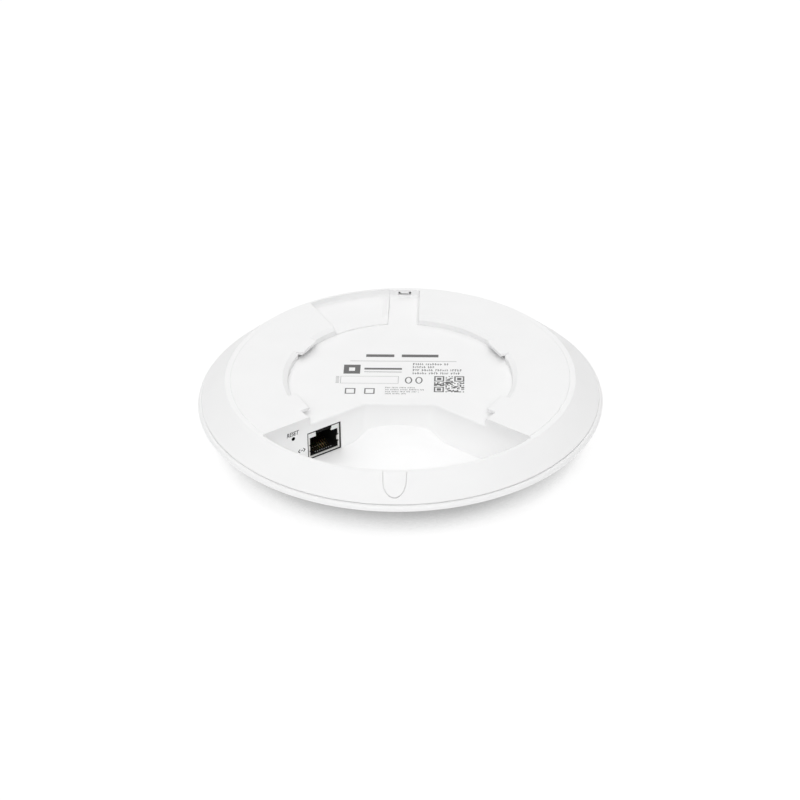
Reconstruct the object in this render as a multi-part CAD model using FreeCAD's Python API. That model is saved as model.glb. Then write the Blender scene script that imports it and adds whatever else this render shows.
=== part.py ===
import FreeCAD, Part
import math
import os

from FreeCAD import Vector

# A ceiling access point, back side up, resting on its domed front.
# Millimetres. +Z points at the ceiling, +Y at the lock channel, -Y at the cable pocket.
# The origin is the centre of the front's flat middle.

# Overall size
RIM_R = 80.0                # largest radius, on the front cover
RIM_Z = 22.4                # height of the largest radius
TOP_Z = 32.65               # flat back ring, which lies on the bracket side
FLAT_R = 22.0               # flat middle of the front, where the dome's arc starts
EDGE_SLOPE = 30.5           # degrees, of the straight outer part of the dome
RIM_ROUND = 0.6             # rounding between the dome and the largest radius
WALL = 1.8                  # main wall of both shells

# Rim joint between the shells
SEAM_R = 78.6               # radius of the seam
SEAM_Z = 24.1               # lower edge of the back shell's skirt
SEAM_GAP = 0.3
SKIRT_W = 2.6               # width of the skirt's lower edge
LIP_R = 74.7                # outside of the front cover's locating lip
LIP_W = 1.4
LIP_TOP = 24.9
SHELF_Z = 21.9              # underside of the shelf that carries the lip

# Back ring
RING_R = 69.5               # outer edge of the ring
BAND_R = 67.0               # where the ring's slightly lower outer band starts
BAND_DROP = 0.2
BAND_STEP = 0.2             # width of the small step down to the band
RING_T = 2.0                # plate under the ring
POCKET_R = 67.8             # outer wall of every pocket in the back

# Bracket recess and its bayonet tabs
RECESS_R = 44.4
RECESS_Z = 29.4             # recess floor
BEVEL_R = 46.3              # top of the bevelled edge
BEVEL_Z = 31.5              # foot of the bevelled edge
FLOOR_T = 1.4               # plate under the recess, channel and arm pocket
TAB_R = 42.2                # inner edge of the tabs
TAB_ANGLES = (29.0, 151.0, 208.7, 331.3)
TAB_SIDES = (-1, 1, 1, -1)  # which end of each tab is open
TAB_SPAN = 15.0             # degrees
TAB_UNDER = 31.5            # underside of the tabs
WINDOW_R = 46.5             # the recess is wider under each tab
WINDOW_ENDS = (0.0, 0.0, 10.0, 10.0)    # and by so many degrees past its open end
TAB_SLOT = (45.0, 46.0)     # radii of the moulding slot under each tab

# Lock channel and arm pocket on the far side
CHANNEL_W = 12.6
CHANNEL_END = 66.9
RELEASE_W = 5.2             # release slot in the channel's end wall
RELEASE_Z = (30.25, 31.75)
RELEASE_R = 69.2            # how far out the slot reaches, inside the conical side
TONGUE_W = 3.6               # tongue that leaves only a U of the slot open
TONGUE_Z = 31.0
ARM_Z = 29.85               # floor of the arm pocket
ARM_FOOT = (-27.4, 35.0)    # the pocket's slanted side passes through these two points
ARM_HEAD = (-38.4, 55.5)
RAMP_X = (-8.9, -6.3)
RAMP_Y = (49.0, 64.5)
RAMP_H = 0.85
RAMP_LEAD = 1.6             # slope at the ramp's near end
FLOOR_ROUND = 1.1           # rounding along the feet of the channel's and arm pocket's walls

# Cable pocket on the near side
WALL_ANGLE = 36.5           # degrees between the slanted walls and the X axis
WALL_Y = -7.1               # where the two slanted wall planes meet, at x = 0
BACK_Y = -17.3              # the pocket's back wall
CORNER_R = 5.0
HUMP_Z = 20.4               # pocket floor over the light guide
HUMP_R = 14.5
FOOT_Z = 13.6               # pocket floor beyond the hump
FOOT_R = 29.0
OUTER_FLOOR_Z = 13.0        # lowest point, from which the floor rises with the dome
OUTER_FLOOR_R = 53.0
POCKET_FOOT_Z = 20.2        # foot of the outer wall
POCKET_T = 1.6              # walls of the pocket
BACK_ROUND = 0.8            # rounding along the top of the back wall

# Cable slot and its cover
SLOT_HALF = 4.5
SLOT_BOTTOM = 25.8
SLOT_GAP = 0.25
SLOT_WALL = 1.4
COVER_T = 2.0               # thickness of the cover's outer skin
COVER_RIB = 1.2

# Circuit board
BOARD_R = 70.0
BOARD_Z = 26.6              # underside, where every part hangs
BOARD_T = 1.2
BOARD_GAP = 0.7             # board edge to the cable pocket's wall
SCREW_SPOTS = ((62.0, 3.0), (62.0, 70.0), (62.0, 132.0), (62.0, 180.0), (60.0, -34.0))

# Jack, in the left wall's own frame: x along the wall, y into the body, z up
JACK_X = (-0.75, 13.6)
JACK_Z = (13.95, 25.1)
JACK_DEPTH = 17.4
JACK_INSET = 0.15
JACK_GAPS = (0.35, 0.7, 0.6, 0.5)        # left, right, below, above
SHEET = 0.3
FRAME_W = 0.75              # front frame around the jack's mouth
GASKET_Y = (0.3, 1.5)       # black gasket in the gap around the jack
PLUG_W = 11.8
PLUG_Z = (15.3, 23.3)
PLUG_DEPTH = 12.6
LATCH_W = 6.2
PIPE_W = 3.4
PIPE_H = 1.9
CONTACT_PITCH = 1.02

# Reset switch, in the same wall frame
RESET_X = -7.5
RESET_Z = 25.6
PINHOLE_R = 0.8
BUTTON_R = 0.65
BUTTON_FRONT = 2.3
SWITCH_FRONT = 3.5
SWITCH_DEPTH = 3.4
SWITCH_W = 4.4

# Shield cans and heat spreader
CAN_H = 2.4
PAD_T = 0.8
SPREADER_T = 1.4
CANS = {"shield_can_processor": (-17.0, 9.0, 17.0, 41.0),
        "shield_can_5ghz": (-53.0, 12.0, -20.0, 38.0),
        "shield_can_24ghz": (20.0, 12.0, 53.0, 38.0)}

# Light guide and front centre
RING_IN = 24.5
RING_OUT = 27.3
FIT_GAP = 0.1
CAP_T = 2.1
FLANGE_T = 1.1

Y_AXIS = Vector(0, 1, 0)
Z_AXIS = Vector(0, 0, 1)
ORIGIN = Vector(0, 0, 0)
BIG = 200.0


# Basic shapes

def box(x0, y0, z0, x1, y1, z1):
    return Part.makeBox(x1 - x0, y1 - y0, z1 - z0, Vector(x0, y0, z0))


def cylinder(radius, z0, z1, x=0.0, y=0.0):
    return Part.makeCylinder(radius, z1 - z0, Vector(x, y, z0))


def tube(inner, outer, z0, z1):
    return cylinder(outer, z0, z1).cut(cylinder(inner, z0 - 1, z1 + 1))


def polygon(points):
    return Part.makePolygon(points + [points[0]])


def revolve(profile):
    """Turn a closed (radius, height) outline about the Z axis."""
    face = Part.Face(polygon([Vector(r, 0, z) for r, z in profile]))
    return face.revolve(ORIGIN, Z_AXIS, 360)


def revolve_edges(edges):
    face = Part.Face(Part.Wire(Part.__sortEdges__(edges)))
    return face.revolve(ORIGIN, Z_AXIS, 360)


def prism(points, z0, z1):
    """Stand a closed (x, y) outline up from z0 to z1."""
    face = Part.Face(polygon([Vector(x, y, z0) for x, y in points]))
    return face.extrude(Vector(0, 0, z1 - z0))


def line(a, b):
    return Part.makeLine(Vector(a[0], 0, a[1]), Vector(b[0], 0, b[1]))


def arc(a, mid, b):
    points = [Vector(p[0], 0, p[1]) for p in (a, mid, b)]
    return Part.Arc(points[0], points[1], points[2]).toShape()


def turned(shape, degrees):
    return shape.rotated(ORIGIN, Z_AXIS, degrees)


def at_polar(radius, degrees):
    a = math.radians(degrees)
    return radius * math.cos(a), radius * math.sin(a)


def join(shapes):
    return shapes[0].multiFuse(shapes[1:]).removeSplitter()


def group(shapes):
    return Part.makeCompound(shapes)


def save(shape, name):
    shape.exportStep("parts/" + name + ".step")


# The slanted left wall of the cable pocket carries the jack and the reset switch

WALL_FROM_X = -33.95        # the wall frame's origin, at the edge of the recess
WALL_FROM = Vector(WALL_FROM_X, WALL_Y + WALL_FROM_X * math.tan(math.radians(WALL_ANGLE)), 0)


def on_wall(shape):
    """Move a shape from the left wall's frame into the part's frame."""
    moved = shape.rotated(ORIGIN, Z_AXIS, WALL_ANGLE)
    return moved.translated(WALL_FROM)


# Dome of the front cover: a flat middle, an arc, a straight slope and a small round at the rim

def slope_parts():
    slope = math.radians(EDGE_SLOPE)
    return math.sin(slope), math.cos(slope), math.tan(slope)


def dome_line():
    """The point where the straight slope ends at the rim, and the radius of the arc that leads into it."""
    sine, cosine, tangent = slope_parts()
    end = (RIM_R - RIM_ROUND + RIM_ROUND * sine, RIM_Z - RIM_ROUND * cosine)
    radius = ((end[0] - FLAT_R) * tangent - end[1]) / (sine * tangent - 1 + cosine)
    return end, radius


DOME_END, DOME_R = dome_line()


def dome_point(radius, inset):
    """Height of the dome at a radius on its arc, for the outside or a surface inset from it."""
    return DOME_R - math.sqrt((DOME_R - inset) ** 2 - (radius - FLAT_R) ** 2)


def dome_arc(inset, r0):
    """The dome's arc from radius r0 to the start of the straight slope, in the XZ plane."""
    sine, cosine, _ = slope_parts()
    reach = DOME_R - inset
    last = (FLAT_R + reach * sine, DOME_R - reach * cosine)
    mid_r = (r0 + last[0]) / 2
    return arc((r0, dome_point(r0, inset)), (mid_r, dome_point(mid_r, inset)), last), last


def front_cover():
    _, _, tangent = slope_parts()
    hole = RING_OUT + FIT_GAP
    seat = CAP_T                                 # flat seat for the light ring's flange
    seat_r = RING_OUT + 2.0
    rim_top = SEAM_Z - SEAM_GAP
    round_r = RIM_R - SEAM_R
    corner = round_r * math.sqrt(0.5)
    inner_r = LIP_R - LIP_W
    outside, slope_start = dome_arc(0.0, hole)
    inside, inner_start = dome_arc(WALL, seat_r)
    inner_end = (inner_start[0] + (SHELF_Z - inner_start[1]) / tangent, SHELF_Z)
    half_turn = math.radians((90 - EDGE_SLOPE) / 2 + EDGE_SLOPE)
    rim_mid = (RIM_R - RIM_ROUND + RIM_ROUND * math.sin(half_turn), RIM_Z - RIM_ROUND * math.cos(half_turn))
    edges = [outside,
             line(slope_start, DOME_END),
             arc(DOME_END, rim_mid, (RIM_R, RIM_Z)),
             arc((RIM_R, RIM_Z), (SEAM_R + corner, rim_top - round_r + corner), (SEAM_R, rim_top)),
             line((SEAM_R, rim_top), (LIP_R, rim_top)),
             line((LIP_R, rim_top), (LIP_R, LIP_TOP)),
             line((LIP_R, LIP_TOP), (inner_r, LIP_TOP)),
             line((inner_r, LIP_TOP), (inner_r, SHELF_Z)),
             line((inner_r, SHELF_Z), inner_end),
             line(inner_end, inner_start),
             inside,
             line((seat_r, dome_point(seat_r, WALL)), (seat_r, seat)),
             line((seat_r, seat), (hole, seat)),
             line((hole, seat), (hole, dome_point(hole, 0.0)))]
    shell = revolve_edges(edges)
    notch = SLOT_HALF + SLOT_WALL + 0.6          # clears the back shell's cable trough
    return shell.cut(box(-notch, -RIM_R, rim_top, notch, -LIP_R + LIP_W + 4.0, LIP_TOP + 1))


def centre_cap():
    edge = RING_IN - FIT_GAP
    lip = dome_point(edge, 0.0)
    bowed, (last_r, last_z) = dome_arc(0.0, FLAT_R)
    disc = revolve([(0, 0), (edge, 0), (edge, CAP_T), (0, CAP_T)])
    dome = revolve_edges([line((0, 0), (FLAT_R, 0)), bowed,
                          line((last_r, last_z), (0, last_z)), line((0, last_z), (0, 0))])
    rim = revolve([(edge - 0.3, lip - 1), (edge + 1, lip - 1), (edge + 1, lip + 0.3), (edge, lip + 0.3)])
    return disc.common(dome).cut(rim)


def light_ring():
    low_in, low_out = dome_point(RING_IN, 0.0) + FIT_GAP, dome_point(RING_OUT, 0.0) + FIT_GAP
    return revolve([(RING_IN, low_in), (RING_OUT, low_out), (RING_OUT, CAP_T), (RING_OUT + 1.8, CAP_T),
                    (RING_OUT + 1.8, CAP_T + FLANGE_T), (RING_IN - 1.8, CAP_T + FLANGE_T),
                    (RING_IN - 1.8, CAP_T), (RING_IN, CAP_T)])


def light_guide():
    foot = CAP_T + FLANGE_T
    stem_top = BOARD_Z - 1.2
    return revolve([(RING_IN, foot), (RING_OUT, foot), (RING_OUT, 4.8), (7.0, 17.6), (5.0, 20.0),
                    (5.0, stem_top), (3.0, stem_top), (3.0, 18.6), (5.4, 15.9), (RING_IN, 4.0)])


# Back shell

def pocket_outline(offset):
    """Plan of the cable pocket, grown by an offset: two slanted walls and a back wall."""
    slope = math.tan(math.radians(WALL_ANGLE))
    lift = offset / math.cos(math.radians(WALL_ANGLE))
    back = BACK_Y + offset
    corner = (WALL_Y + lift - back) / slope
    far_x = RIM_R
    far_y = WALL_Y + lift - slope * far_x
    return [(-corner, back), (-far_x, far_y), (-far_x, -BIG), (far_x, -BIG), (far_x, far_y), (corner, back)]


def pocket_bowl(skin, wall):
    """Volume inside the pocket's floor and outer wall, grown downwards by skin and outwards by wall."""
    hump, foot = HUMP_Z - skin, FOOT_Z - skin
    mid_r, mid_z = (HUMP_R + FOOT_R) / 2, (hump + foot) / 2
    run, drop = FOOT_R - HUMP_R, hump - foot
    bend = (run ** 2 + drop ** 2) / (4 * drop)             # radius of the S-curve's two arcs
    quarter = math.asin(run / 2 / bend) / 2
    down = (HUMP_R + bend * math.sin(quarter), hump - bend * (1 - math.cos(quarter)))
    up = (FOOT_R - bend * math.sin(quarter), foot + bend * (1 - math.cos(quarter)))
    outer = POCKET_R + wall
    edges = [line((0, hump), (HUMP_R, hump)),
             arc((HUMP_R, hump), down, (mid_r, mid_z)),
             arc((mid_r, mid_z), up, (FOOT_R, foot)),
             line((FOOT_R, foot), (OUTER_FLOOR_R, OUTER_FLOOR_Z - skin)),
             line((OUTER_FLOOR_R, OUTER_FLOOR_Z - skin), (outer, POCKET_FOOT_Z - skin)),
             line((outer, POCKET_FOOT_Z - skin), (outer, TOP_Z + 1)),
             line((outer, TOP_Z + 1), (0, TOP_Z + 1)),
             line((0, TOP_Z + 1), (0, hump))]
    return revolve_edges(edges)


def cable_pocket(offset, corner_r):
    walls = prism(pocket_outline(offset), 0, TOP_Z + 1)
    corners = [e for e in walls.Edges
               if abs(e.CenterOfMass.y - BACK_Y - offset) < 0.01 and e.tangentAt(e.FirstParameter).z ** 2 > 0.9]
    walls = walls.makeFillet(corner_r, corners)
    return walls.common(pocket_bowl(offset, offset))


def recess(z_floor, radius):
    return cylinder(radius, z_floor, TOP_Z + 1)


def bevel():
    return Part.makeCone(RECESS_R, BEVEL_R, TOP_Z - BEVEL_Z, Vector(0, 0, BEVEL_Z))


def channel(grow, z_floor):
    half = CHANNEL_W / 2 + grow
    return box(-half, RECESS_R - 4.0, z_floor, half, CHANNEL_END + grow, TOP_Z + 1)


def rounded_foot(well, z_floor, keep):
    """Round the edges along the foot of a well's walls, where keep says so for the edge's centre."""
    feet = [e for e in well.Edges if e.BoundBox.ZMax < z_floor + 0.01 and keep(e.CenterOfMass)]
    return well.makeFillet(FLOOR_ROUND, feet)


def arm_pocket(grow, z_floor):
    side_x, side_y = ARM_HEAD[0] - ARM_FOOT[0], ARM_HEAD[1] - ARM_FOOT[1]
    length = math.hypot(side_x, side_y)
    ux, uy = side_x / length, side_y / length
    shift_x, shift_y = -uy * grow, ux * grow
    inner = (ARM_FOOT[0] - 5 * ux + shift_x, ARM_FOOT[1] - 5 * uy + shift_y)
    outer = (ARM_HEAD[0] + 15 * ux + shift_x, ARM_HEAD[1] + 15 * uy + shift_y)
    right = -CHANNEL_W / 2
    plan = [(right, RECESS_R - 7.0), inner, outer, (right, outer[1])]
    return prism(plan, z_floor, TOP_Z + 1).common(cylinder(POCKET_R + grow, 0, TOP_Z + 2))


def arm_ramp():
    """Low ramp beside the channel that a bracket arm rides over."""
    section = [Vector(RAMP_X[0], RAMP_Y[0], ARM_Z - 0.5), Vector(RAMP_X[1], RAMP_Y[0], ARM_Z - 0.5),
               Vector(RAMP_X[1], RAMP_Y[0], ARM_Z + RAMP_H), Vector(RAMP_X[1] - 0.7, RAMP_Y[0], ARM_Z + RAMP_H),
               Vector(RAMP_X[0], RAMP_Y[0], ARM_Z)]
    ridge = Part.Face(polygon(section)).extrude(Vector(0, RAMP_Y[1] - RAMP_Y[0], 0))
    lead_end = RAMP_Y[0] + RAMP_LEAD * (TOP_Z - ARM_Z) / RAMP_H
    side = [Vector(-BIG, RAMP_Y[0], ARM_Z - 1), Vector(-BIG, RAMP_Y[1], ARM_Z - 1),
            Vector(-BIG, RAMP_Y[1], TOP_Z), Vector(-BIG, lead_end, TOP_Z), Vector(-BIG, RAMP_Y[0], ARM_Z)]
    return ridge.common(Part.Face(polygon(side)).extrude(Vector(2 * BIG, 0, 0)))


def tab_shape():
    """One bayonet tab at angle 0: a thin lip with a straight inner edge."""
    half = math.radians(TAB_SPAN / 2)
    inner = TAB_R * math.sin(half)
    outer_r = WINDOW_R + 0.5
    outer = outer_r * math.tan(half)
    return prism([(TAB_R, -inner), (outer_r, -outer), (outer_r, outer), (TAB_R, inner)], TAB_UNDER, TOP_Z)


def sector(solid, side, start, end):
    """The part of a solid between two angles, counted towards one side of the X axis."""
    points = [(0, 0)] + [at_polar(BIG, side * a) for a in (start, (start + end) / 2, end)]
    return solid.common(prism(points, 0, TOP_Z + 1))


def tab_slot(side):
    """Moulding slot through the recess floor, under the open half of a tab."""
    half = TAB_SPAN / 2
    slot = tube(TAB_SLOT[0], TAB_SLOT[1], RECESS_Z - FLOOR_T - 1, TAB_UNDER)
    return sector(slot, side, -0.7 * half, half)


def tab_window(side, past):
    """The wider part of the recess: under a tab, and for some tabs at full height past the open end."""
    half = TAB_SPAN / 2
    under = sector(tube(RECESS_R - 1.0, WINDOW_R, RECESS_Z, TAB_UNDER), side, -0.9 * half, half)
    if not past:
        return under
    beyond = sector(tube(RECESS_R - 1.0, WINDOW_R, RECESS_Z, TOP_Z + 1), side, half, half + past)
    return join([under, beyond])


def slot_prism(half, bottom, y0, y1):
    """A U-shaped bar along Y: straight sides above a half-round bottom."""
    centre_z = bottom + half
    round_end = Part.makeCylinder(half, y1 - y0, Vector(0, y0, centre_z), Y_AXIS)
    return join([round_end, box(-half, y0, centre_z, half, y1, TOP_Z + 2)])


def skirt_slope(z, offset):
    """Radius of the conical side, or of the surface offset inwards from it, at a height."""
    rise = (RING_R - SEAM_R) / (TOP_Z - BAND_DROP - SEAM_Z)
    return SEAM_R - offset + rise * (z - SEAM_Z)


def outer_body():
    edge = TOP_Z - BAND_DROP
    body = revolve([(0, SEAM_Z), (SEAM_R - 0.3, SEAM_Z), (SEAM_R, SEAM_Z + 0.25), (RING_R, edge - 0.3),
                    (RING_R - 0.4, edge), (BAND_R, edge), (BAND_R - BAND_STEP, TOP_Z), (0, TOP_Z)])
    return body


def inner_hollow():
    under = TOP_Z - RING_T
    return revolve([(0, SEAM_Z - 1), (skirt_slope(SEAM_Z - 1, SKIRT_W), SEAM_Z - 1),
                    (skirt_slope(under, SKIRT_W), under), (0, under)])


def board_bosses():
    under = TOP_Z - RING_T
    posts = []
    for radius, angle in SCREW_SPOTS:
        x, y = at_polar(radius, angle)
        posts.append(cylinder(3.2, BOARD_Z + BOARD_T, under + 0.5, x, y))
    return posts


def boss_holes():
    holes = []
    for radius, angle in SCREW_SPOTS:
        x, y = at_polar(radius, angle)
        holes.append(cylinder(1.25, BOARD_Z, TOP_Z - 0.9, x, y))
    return holes


def window_block(y0, y1, inset):
    """A block as large as the jack's window, in the wall frame, drawn in at the sides by an inset."""
    left, right, below, above = [gap - inset for gap in JACK_GAPS]
    return box(JACK_X[0] - left, y0, JACK_Z[0] - below, JACK_X[1] + right, y1, JACK_Z[1] + above)


def jack_window():
    return on_wall(window_block(-1, POCKET_T + 1, 0.0))


def pinhole():
    hole = Part.makeCylinder(PINHOLE_R, POCKET_T + 2, Vector(RESET_X, -1, RESET_Z), Y_AXIS)
    return on_wall(hole)


def release_slot():
    half = RELEASE_W / 2
    slot = box(-half, CHANNEL_END - 1, RELEASE_Z[0], half, RELEASE_R, RELEASE_Z[1])
    tongue = box(-TONGUE_W / 2, CHANNEL_END, TONGUE_Z, TONGUE_W / 2, CHANNEL_END + 1.2, RELEASE_Z[1])
    return slot.cut(tongue)


def pocket_tub():
    """Walls and floor of the cable pocket, with the trough around the cable slot."""
    tub = cable_pocket(POCKET_T, CORNER_R + POCKET_T).common(cylinder(RIM_R, 0, TOP_Z - 0.5))
    trough = slot_prism(SLOT_HALF + SLOT_WALL, SLOT_BOTTOM - SLOT_WALL, -SEAM_R, -POCKET_R + 6.0)
    return join([tub, trough.common(outer_body())])


def back_wall_top(shell):
    """Edges where the recess floor meets the pocket's back wall and its rounded corners."""
    reach = (WALL_Y - BACK_Y) / math.tan(math.radians(WALL_ANGLE)) + CORNER_R
    return [e for e in shell.Edges
            if abs(e.BoundBox.ZMin - RECESS_Z) < 0.01 and abs(e.BoundBox.ZMax - RECESS_Z) < 0.01
            and BACK_Y - 10.0 < e.CenterOfMass.y < BACK_Y + 0.01 and abs(e.CenterOfMass.x) < reach + 12.0]


def back_shell():
    plate_top = TOP_Z - 1.0
    skin = outer_body().cut(inner_hollow())
    wells = [recess(RECESS_Z - FLOOR_T, WINDOW_R + WALL), channel(WALL, RECESS_Z - FLOOR_T),
             arm_pocket(WALL, RECESS_Z - FLOOR_T)]
    wells = [well.common(cylinder(RIM_R, 0, plate_top)) for well in wells]
    shell = join([skin] + [well.common(outer_body()) for well in wells] + [pocket_tub()] + board_bosses())
    windows = [turned(tab_window(side, past), angle)
               for side, past, angle in zip(TAB_SIDES, WINDOW_ENDS, TAB_ANGLES)]
    left, near = -CHANNEL_W / 2 - 0.1, RECESS_R - 3.9
    cuts = [recess(RECESS_Z, RECESS_R), bevel(),
            rounded_foot(channel(0.0, RECESS_Z), RECESS_Z, lambda c: c.x > left + 0.2 and c.y > near),
            rounded_foot(arm_pocket(0.0, ARM_Z), ARM_Z, lambda c: c.x < left and c.y > near),
            cable_pocket(0.0, CORNER_R), slot_prism(SLOT_HALF, SLOT_BOTTOM, -RIM_R, -POCKET_R + 1.0),
            jack_window(), pinhole(), release_slot()] + windows + boss_holes()
    shell = shell.cut(cuts)
    tabs = [turned(tab_shape(), angle) for angle in TAB_ANGLES]
    slots = [turned(tab_slot(side), angle) for side, angle in zip(TAB_SIDES, TAB_ANGLES)]
    tabs = [tab.cut(cable_pocket(0.0, CORNER_R)) for tab in tabs]
    shell = shell.makeFillet(BACK_ROUND, back_wall_top(shell))
    shell = join([shell, arm_ramp()] + tabs)
    return shell.cut(slots)


def cable_slot_cover():
    """Insert that follows the conical side, with two ribs reaching in to the pocket's wall."""
    half = SLOT_HALF - SLOT_GAP
    bottom = SLOT_BOTTOM + SLOT_GAP
    bar = slot_prism(half, bottom, -RIM_R, -POCKET_R).common(outer_body())
    hollow = inner_hollow().translated(Vector(0, 0, RING_T - COVER_T))
    core_half = half - COVER_RIB
    core = slot_prism(core_half, bottom + COVER_RIB, -RIM_R, -POCKET_R + 5.0).common(hollow)
    return bar.cut(core.cut(box(-BIG, -BIG, TOP_Z - COVER_T, BIG, BIG, BIG)))


# Jack

def jack_shield():
    x0, x1 = JACK_X
    z0, z1 = JACK_Z
    back = JACK_INSET + JACK_DEPTH
    outer = box(x0, JACK_INSET, z0, x1, back, z1)
    inner = box(x0 + SHEET, JACK_INSET - 1, z0 + SHEET, x1 - SHEET, back - SHEET, z1 - SHEET)
    frame_top = z1 - SHEET - PIPE_H
    frame = box(x0, JACK_INSET, z0, x1, JACK_INSET + SHEET, frame_top)
    mouth = box(x0 + FRAME_W, JACK_INSET - 1, z0 + FRAME_W, x1 - FRAME_W, JACK_INSET + 1, frame_top + 1)
    spring_right = box(x1 - SHEET - 0.55, JACK_INSET, 19.0, x1 - SHEET + 0.1, JACK_INSET + 0.25, 20.6)
    spring_left = box(x0 + SHEET - 0.1, JACK_INSET, 15.0, x0 + SHEET + 0.4, JACK_INSET + 0.25, 16.6)
    tails = [box(x, 9.0, z1 - 0.1, x + 0.8, 9.8, BOARD_Z + BOARD_T) for x in (x0 + 0.01, x1 - 0.81)]
    return on_wall(join([outer.cut(inner), frame.cut(mouth), spring_right, spring_left] + tails))


def jack_gasket():
    """Gasket that fills the uneven gap between the jack and its window."""
    y0, y1 = GASKET_Y
    gap = 0.03
    hole = box(JACK_X[0] - gap, y0 - 1, JACK_Z[0] - gap, JACK_X[1] + gap, y1 + 1, JACK_Z[1] + gap)
    return on_wall(window_block(y0, y1, gap).cut(hole))


def jack_centre():
    return (JACK_X[0] + JACK_X[1]) / 2


def jack_housing():
    front = JACK_INSET + 0.3
    back = JACK_INSET + JACK_DEPTH - SHEET
    x0, x1 = JACK_X[0] + SHEET, JACK_X[1] - SHEET
    z0, z1 = JACK_Z[0] + SHEET, JACK_Z[1] - SHEET
    centre = jack_centre()
    block = box(x0, front, z0, x1, back, z1)
    cavity_end = front + PLUG_DEPTH
    plug = box(centre - PLUG_W / 2, front - 1, PLUG_Z[0], centre + PLUG_W / 2, cavity_end, PLUG_Z[1])
    latch = box(centre - LATCH_W / 2, front - 1, PLUG_Z[1] - 0.1, centre + LATCH_W / 2, cavity_end, z1 - 0.5)
    pipes = [box(x0 - 1, front - 1, z1 - PIPE_H, x0 + PIPE_W, front + 6.0, z1 + 1),
             box(x1 - PIPE_W, front - 1, z1 - PIPE_H, x1 + 1, front + 6.0, z1 + 1)]
    comb = []
    for number in range(8):
        x = centre + (number - 3.5) * CONTACT_PITCH
        comb.append(box(x - 0.22, front + 0.7, PLUG_Z[0] - 0.5, x + 0.22, front + 9.0, PLUG_Z[0] + 0.1))
    return on_wall(block.cut([plug, latch] + pipes + comb))


def jack_contacts():
    """Eight sprung wires that rise from the plug cavity's floor towards its back."""
    front = JACK_INSET + 0.3
    wires = []
    for number in range(8):
        x = jack_centre() + (number - 3.5) * CONTACT_PITCH - 0.16
        low = PLUG_Z[0] - 0.4
        section = [Vector(x, front + 1.0, low), Vector(x, front + 2.0, low), Vector(x, front + 9.0, low + 2.6),
                   Vector(x, front + 9.0, low + 3.0), Vector(x, front + 1.7, low + 0.35),
                   Vector(x, front + 1.0, low + 0.35)]
        wires.append(on_wall(Part.Face(polygon(section)).extrude(Vector(0.32, 0, 0))))
    return group(wires)


def jack_light_pipes():
    front = JACK_INSET + 0.15
    x0, x1 = JACK_X[0] + SHEET, JACK_X[1] - SHEET
    z1 = JACK_Z[1] - SHEET
    depth = 5.8
    left = box(x0, front, z1 - PIPE_H + 0.02, x0 + PIPE_W - 0.02, front + depth, z1)
    right = box(x1 - PIPE_W + 0.02, front, z1 - PIPE_H + 0.02, x1, front + depth, z1)
    return group([on_wall(left), on_wall(right)])


# Reset switch

def reset_button():
    length = SWITCH_FRONT + 1.0 - BUTTON_FRONT
    return on_wall(Part.makeCylinder(BUTTON_R, length, Vector(RESET_X, BUTTON_FRONT, RESET_Z), Y_AXIS))


def reset_switch_body():
    half = SWITCH_W / 2
    back = SWITCH_FRONT + SWITCH_DEPTH
    body = box(RESET_X - half, SWITCH_FRONT, RESET_Z - 1.0, RESET_X + half, back, BOARD_Z)
    bore = Part.makeCylinder(BUTTON_R + FIT_GAP, 1.6, Vector(RESET_X, SWITCH_FRONT - 0.1, RESET_Z), Y_AXIS)
    return on_wall(body.cut(bore))


def reset_switch_cover():
    half = SWITCH_W / 2
    low = RESET_Z - 1.0
    back = SWITCH_FRONT + SWITCH_DEPTH
    plate = box(RESET_X - half - 0.2, SWITCH_FRONT + 0.3, low - 0.2, RESET_X + half + 0.2, back, BOARD_Z)
    body = box(RESET_X - half, 0, low, RESET_X + half, BIG, BOARD_Z + 1)
    return on_wall(plate.cut(body))


# Board and electronics

def main_board():
    board = cylinder(BOARD_R, BOARD_Z, BOARD_Z + BOARD_T)
    clear = prism(pocket_outline(POCKET_T + BOARD_GAP), 0, TOP_Z)
    holes = boss_holes()
    tails = [on_wall(box(x, 8.9, 0, x + 1.0, 9.9, TOP_Z)) for x in (JACK_X[0] - 0.1, JACK_X[1] - 0.9)]
    return board.cut([clear] + holes + tails)


def board_screws():
    screws = []
    for radius, angle in SCREW_SPOTS:
        x, y = at_polar(radius, angle)
        head = cylinder(2.4, BOARD_Z - 1.6, BOARD_Z, x, y)
        shank = cylinder(1.2, BOARD_Z, BOARD_Z + 4.2, x, y)
        drive = cylinder(0.9, BOARD_Z - 1.7, BOARD_Z - 0.7, x, y)
        screws.append(head.fuse(shank).removeSplitter().cut(drive))
    return group(screws)


def chip(x, y, wide, deep, high, turn=0.0):
    body = box(-wide / 2, -deep / 2, BOARD_Z - high, wide / 2, deep / 2, BOARD_Z)
    return turned(body, turn).translated(Vector(x, y, 0))


def shield_can(outline):
    x0, y0, x1, y1 = outline
    can = box(x0, y0, BOARD_Z - CAN_H, x1, y1, BOARD_Z)
    can = can.makeFillet(1.0, [e for e in can.Edges if e.tangentAt(e.FirstParameter).z ** 2 > 0.9])
    return can.cut(box(x0 + SHEET, y0 + SHEET, BOARD_Z - CAN_H + SHEET, x1 - SHEET, y1 - SHEET, BOARD_Z + 1))


def thermal_pads():
    pads = []
    for x0, y0, x1, y1 in CANS.values():
        cx, cy = (x0 + x1) / 2, (y0 + y1) / 2
        pads.append(box(cx - 9, cy - 9, BOARD_Z - CAN_H - PAD_T, cx + 9, cy + 9, BOARD_Z - CAN_H))
    return group(pads)


def spreader_spots():
    return [(-56.0, 16.0), (56.0, 16.0), (-8.0, 49.0), (8.0, 49.0)]


def spreader_top():
    return BOARD_Z - CAN_H - PAD_T


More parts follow.
